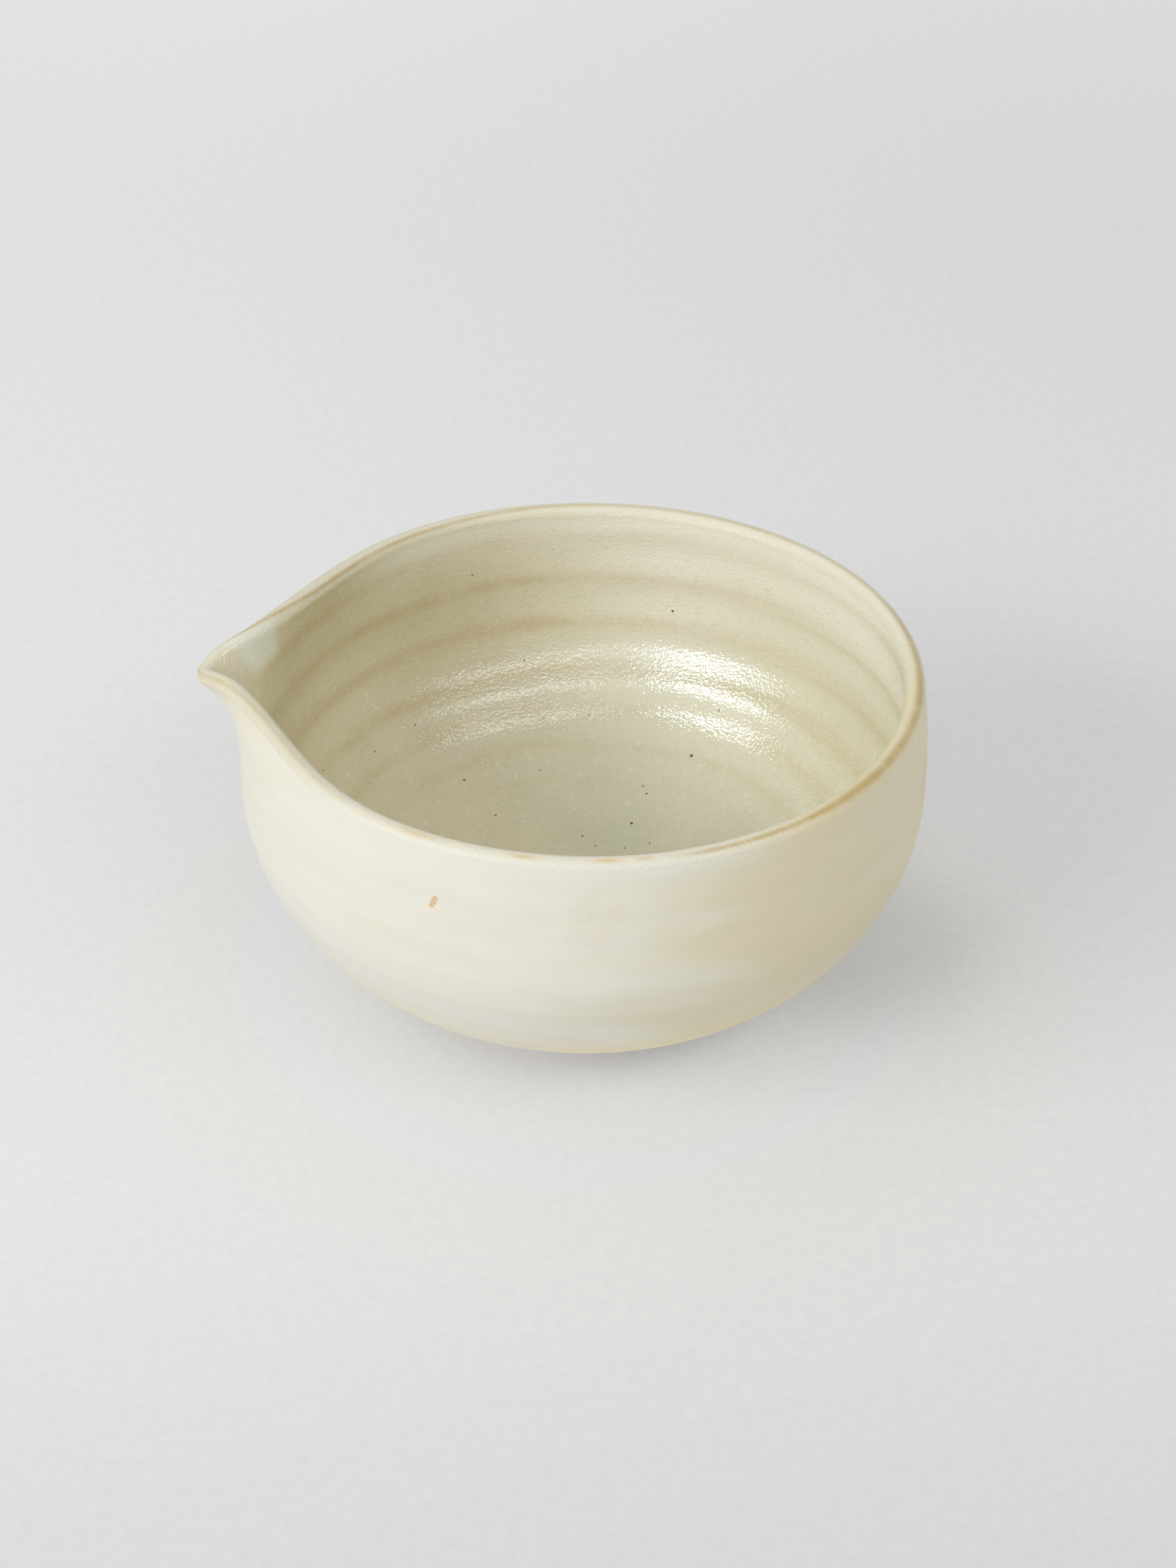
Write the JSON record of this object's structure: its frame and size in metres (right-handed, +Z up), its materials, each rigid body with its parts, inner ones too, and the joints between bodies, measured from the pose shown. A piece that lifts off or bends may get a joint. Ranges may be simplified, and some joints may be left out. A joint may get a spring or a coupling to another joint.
{
  "type": "mixing bowl",
  "caption": "Small hand-thrown stoneware mixing bowl with a pulled pouring spout, rounded belly and a low trimmed foot ring.",
  "frame": {"origin": "centre of the foot ring's resting face", "axes": "+Z up through the middle of the bowl, +X towards the pouring spout; the XZ plane is the mirror plane"},
  "size_m": [0.1697, 0.16, 0.0854],
  "materials": {
    "stoneware": "matt, fine-grained fired stoneware, buff with iron specks",
    "liner_glaze": "glossy beige-olive glaze with tan streaks and iron specks",
    "outer_glaze": "satin creamy white glaze, thinner and warmer in places"
  },
  "bodies": {
    "root": {"stoneware_body": "stoneware", "liner_glaze": "liner_glaze", "outer_glaze": "outer_glaze"}
  },
  "joints": []
}
